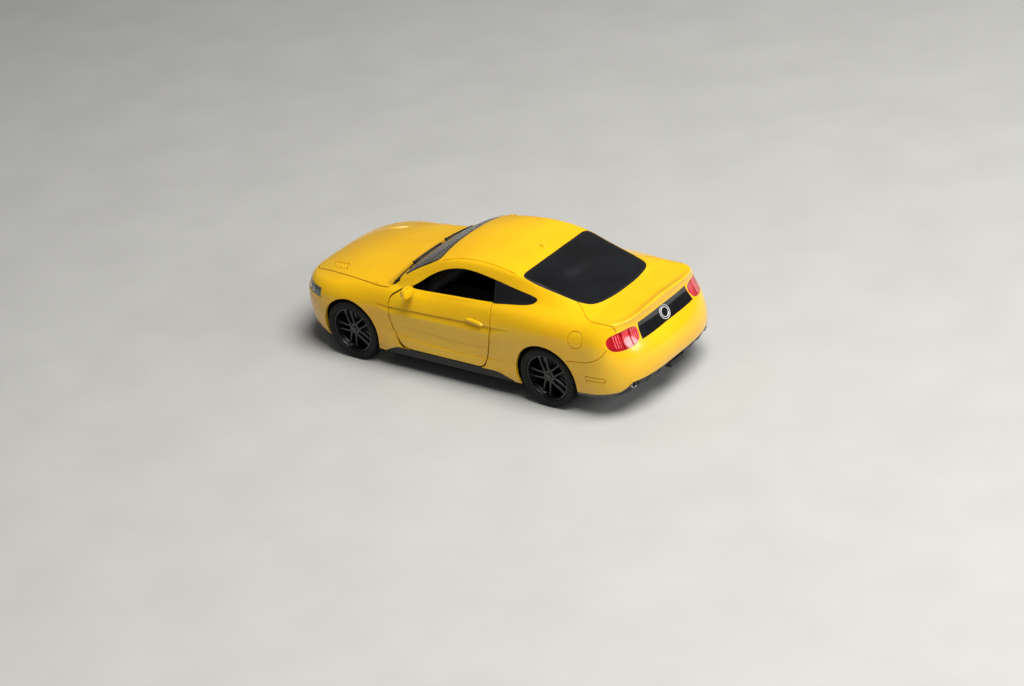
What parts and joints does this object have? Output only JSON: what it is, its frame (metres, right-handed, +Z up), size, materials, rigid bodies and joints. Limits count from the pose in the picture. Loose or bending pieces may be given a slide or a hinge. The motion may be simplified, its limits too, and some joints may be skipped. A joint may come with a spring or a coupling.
{
  "type": "diecast model car",
  "caption": "Collector's 1:24 diecast fastback coupe with opening doors and hood, rolling wheels, cabin and engine bay",
  "frame": {"origin": "centre of the length and width, on the plane the tyres stand on", "axes": "+X to the nose, +Y to the driver's left, +Z up"},
  "size_m": [0.1989, 0.0866, 0.0585],
  "materials": {
    "yellow_paint": "bright solid yellow gloss enamel on zinc casting",
    "yellow_plastic": "painted yellow gloss plastic",
    "mirror_foil": "silver mirror foil",
    "clear_glazing": "clear moulded glazing, slightly grey",
    "smoked_glazing": "dark smoked glazing",
    "satin_black": "satin black plastic",
    "seat_black": "moulded black seats with leather grain",
    "base_black": "moulded black base plastic",
    "engine_grey": "silver grey moulded engine",
    "pin_steel": "bright steel rod",
    "bright_trim": "vacuum plated bright trim",
    "gloss_black": "gloss black panel",
    "red_lens": "transparent red lens",
    "clear_lens": "clear lens over a silver bowl",
    "rim_black": "satin black painted wheel",
    "tyre_rubber": "soft black tyre"
  },
  "bodies": {
    "chassis": {"body_shell": "yellow_paint", "hood_hinge_pin_left": "pin_steel", "hood_hinge_pin_right": "pin_steel", "door_hinge_pin_left": "pin_steel", "door_hinge_pin_right": "pin_steel", "windscreen": "clear_glazing", "rear_window": "smoked_glazing", "quarter_window_left": "smoked_glazing", "quarter_window_right": "smoked_glazing", "cowl_panel": "satin_black", "wiper_left": "satin_black", "wiper_right": "satin_black", "base_plate": "base_black", "base_screws": "pin_steel", "wheel_liner_front_left": "base_black", "wheel_liner_front_right": "base_black", "wheel_liner_rear_left": "base_black", "wheel_liner_rear_right": "base_black", "interior_tub": "satin_black", "dashboard": "satin_black", "steering_wheel": "satin_black", "center_console": "satin_black", "front_seat_left": "seat_black", "front_seat_right": "seat_black", "rear_bench": "seat_black", "engine_bay": "base_black", "engine_block": "engine_grey", "radiator": "engine_grey", "headlamp_left": "clear_lens", "headlamp_right": "clear_lens", "front_grille": "satin_black", "lower_grille": "satin_black", "front_splitter": "satin_black", "tail_lamp_left": "red_lens", "tail_lamp_right": "red_lens", "tail_panel": "gloss_black", "tail_badge": "bright_trim", "rear_diffuser": "satin_black", "exhaust_tip_left": "bright_trim", "exhaust_tip_right": "bright_trim", "antenna_nub": "yellow_paint"},
    "left_door": {"door_left": "yellow_paint", "door_card_left": "satin_black", "mirror_left": "yellow_plastic", "mirror_glass_left": "mirror_foil"},
    "right_door": {"door_right": "yellow_paint", "door_card_right": "satin_black", "mirror_right": "yellow_plastic", "mirror_glass_right": "mirror_foil"},
    "hood": {"hood": "yellow_paint"},
    "front_wheels": {"front_axle": "pin_steel", "rim_front_left": "rim_black", "rim_front_right": "rim_black", "tyre_front_left": "tyre_rubber", "tyre_front_right": "tyre_rubber"},
    "rear_wheels": {"rear_axle": "pin_steel", "rim_rear_left": "rim_black", "rim_rear_right": "rim_black", "tyre_rear_left": "tyre_rubber", "tyre_rear_right": "tyre_rubber"}
  },
  "joints": [
    {"name": "left_door_hinge", "type": "hinge", "parent": "chassis", "child": "left_door", "pos_m": [0.024, 0.0359, 0.022], "axis": [0, 0, -1], "range_deg": [0, 55]},
    {"name": "right_door_hinge", "type": "hinge", "parent": "chassis", "child": "right_door", "pos_m": [0.024, -0.0359, 0.022], "axis": [0, 0, 1], "range_deg": [0, 55]},
    {"name": "hood_hinge", "type": "hinge", "parent": "chassis", "child": "hood", "pos_m": [0.053, 0, 0.0384], "axis": [0, -1, 0], "range_deg": [0, 45]},
    {"name": "front_axle_spin", "type": "hinge", "parent": "chassis", "child": "front_wheels", "pos_m": [0.0599, 0, 0.01475], "axis": [0, 1, 0], "continuous": true},
    {"name": "rear_axle_spin", "type": "hinge", "parent": "chassis", "child": "rear_wheels", "pos_m": [-0.0534, 0, 0.01475], "axis": [0, 1, 0], "continuous": true}
  ]
}
